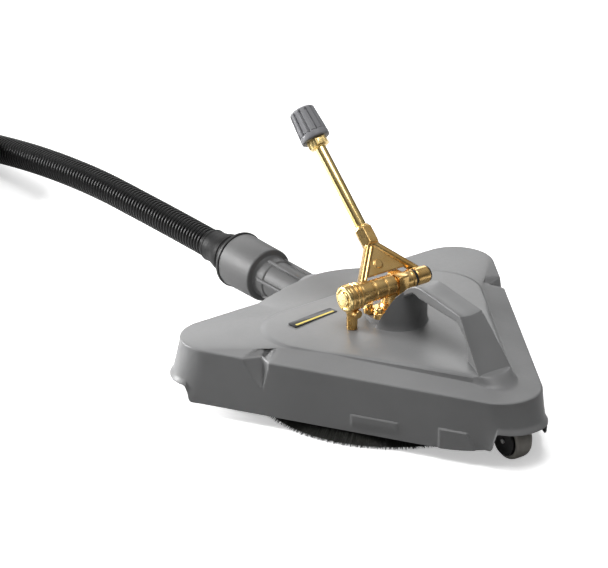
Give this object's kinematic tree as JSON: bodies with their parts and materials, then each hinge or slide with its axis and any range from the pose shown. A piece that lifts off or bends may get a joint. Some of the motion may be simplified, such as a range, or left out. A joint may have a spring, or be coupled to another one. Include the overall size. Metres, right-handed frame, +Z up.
{
  "type": "surface cleaner",
  "caption": "Triangular floor surface cleaner on casters with a brush ring, spray rotor, tilting brass lance yoke with screw union, and a rear suction hose.",
  "frame": {"origin": "floor level, under the middle of the footprint of the cleaner without its hose; the rotor's axis is 53.6 mm in front of it along +Y", "axes": "+Y from the hose socket to the front caster, +Z up, +X to the side where the feed stub goes through the roof"},
  "size_m": [0.7273, 1.5467, 0.3196],
  "materials": {
    "housing_plastic": "satin",
    "inner_plastic": "matte",
    "socket_plastic": "satin",
    "knob_plastic": "satin",
    "bristles": "matte",
    "badge_face": "gloss",
    "rubber": "matte",
    "cuff_rubber": "matte",
    "hose_plastic": "satin",
    "brass": "polished",
    "steel": "satin",
    "fork_paint": "satin",
    "wheel_plastic": "satin",
    "tyre": "matte"
  },
  "bodies": {
    "base": {"housing": "housing_plastic", "chassis": "inner_plastic", "housing_screws": "steel", "brush_holder": "inner_plastic", "bristle_ring": "bristles", "badge": "badge_face", "suction_socket": "socket_plastic", "socket_seal": "rubber", "hose_cuff": "cuff_rubber", "hose": "hose_plastic", "hose_coil": "hose_plastic", "hose_end_cuff": "cuff_rubber", "feed_pipe": "steel", "injector_nozzle": "brass", "flange_body": "brass", "flange_screws": "steel", "axle_body": "brass", "end_elbow": "brass", "end_cap": "brass", "thrust_rings": "rubber", "rotor_bearings": "steel", "bearing_spacer": "steel", "shaft_seal": "rubber"},
    "yoke": {"yoke": "brass", "lance_tube": "brass", "lance_nipple": "brass", "lance_nut": "brass"},
    "union": {"union_insert": "brass", "union_knob": "knob_plastic"},
    "rotor": {"rotor_shaft": "steel", "rotor_hub": "brass", "spray_arms": "steel", "spray_nozzles": "steel"},
    "front_caster": {"front_fork": "fork_paint", "front_wheel_pin": "steel"},
    "front_wheel": {"front_wheel_hub": "wheel_plastic", "front_tyre": "tyre"},
    "left_caster": {"left_fork": "fork_paint", "left_wheel_pin": "steel"},
    "left_wheel": {"left_wheel_hub": "wheel_plastic", "left_tyre": "tyre"},
    "right_caster": {"right_fork": "fork_paint", "right_wheel_pin": "steel"},
    "right_wheel": {"right_wheel_hub": "wheel_plastic", "right_tyre": "tyre"}
  },
  "joints": [
    {"name": "yoke_tilt", "type": "hinge", "parent": "base", "child": "yoke", "pos_m": [0, 0.05162, 0.141], "axis": [1, 0, 0], "range_deg": [-60, 35]},
    {"name": "union_spin", "type": "hinge", "parent": "yoke", "child": "union", "pos_m": [0, -0.10149, 0.28179], "axis": [0, -0.7361, 0.6769], "continuous": true},
    {"name": "rotor_spin", "type": "hinge", "parent": "base", "child": "rotor", "pos_m": [0, 0.05362, 0.05], "axis": [0, 0, 1], "continuous": true},
    {"name": "front_swivel", "type": "hinge", "parent": "base", "child": "front_caster", "pos_m": [0, 0.26961, 0.06], "axis": [0, 0, 1], "continuous": true},
    {"name": "front_roll", "type": "hinge", "parent": "front_caster", "child": "front_wheel", "pos_m": [0, 0.28962, 0.025], "axis": [1, 0, 0], "continuous": true},
    {"name": "left_swivel", "type": "hinge", "parent": "base", "child": "left_caster", "pos_m": [-0.18706, -0.05439, 0.06], "axis": [0, 0, 1], "continuous": true},
    {"name": "left_roll", "type": "hinge", "parent": "left_caster", "child": "left_wheel", "pos_m": [-0.18706, -0.03438, 0.025], "axis": [1, 0, 0], "continuous": true},
    {"name": "right_swivel", "type": "hinge", "parent": "base", "child": "right_caster", "pos_m": [0.18706, -0.05439, 0.06], "axis": [0, 0, 1], "continuous": true},
    {"name": "right_roll", "type": "hinge", "parent": "right_caster", "child": "right_wheel", "pos_m": [0.18706, -0.03438, 0.025], "axis": [1, 0, 0], "continuous": true}
  ]
}
